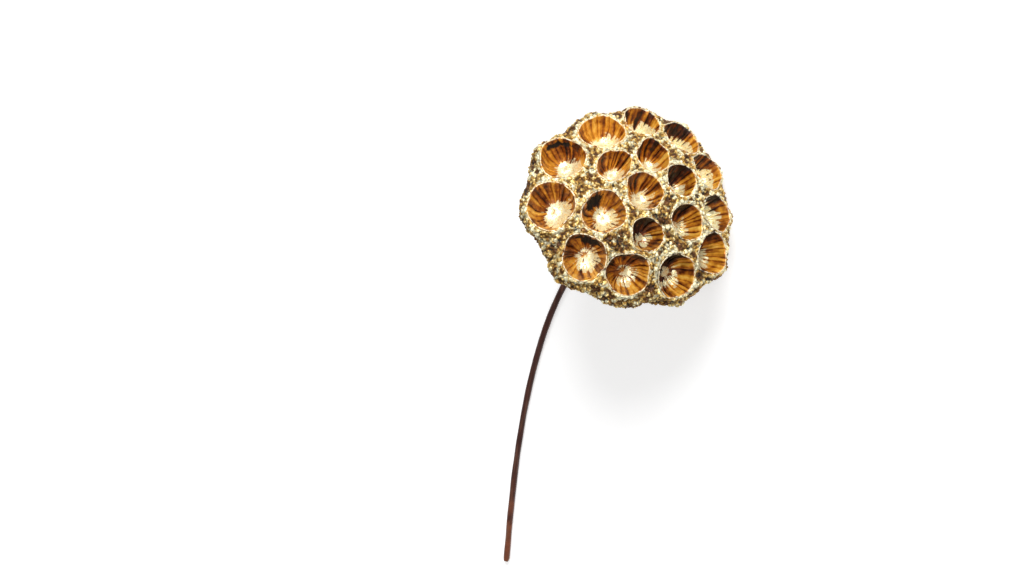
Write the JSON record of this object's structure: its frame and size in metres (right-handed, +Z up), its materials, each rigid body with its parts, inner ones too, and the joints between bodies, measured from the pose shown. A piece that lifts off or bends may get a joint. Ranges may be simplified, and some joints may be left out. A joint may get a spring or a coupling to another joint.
{
  "type": "dried lotus pod",
  "caption": "A gilded dried lotus seed pod with empty cups in its domed face, on a slim cut stem, lying on a level surface.",
  "frame": {"origin": "On the surface that the pod lies on, under the middle of the part's box", "axes": "+Z up; +Y from the cut end of the stem towards the head; +X to the right of that"},
  "size_m": [0.0876, 0.232, 0.0754],
  "materials": {
    "gilded_pod": "gold paint with coarse glitter",
    "cup_lining": "satin amber gold wash",
    "dried_stem": "dark satin dried stalk"
  },
  "bodies": {
    "root": {"pod_head": "gilded_pod", "stem": "dried_stem"}
  },
  "joints": []
}
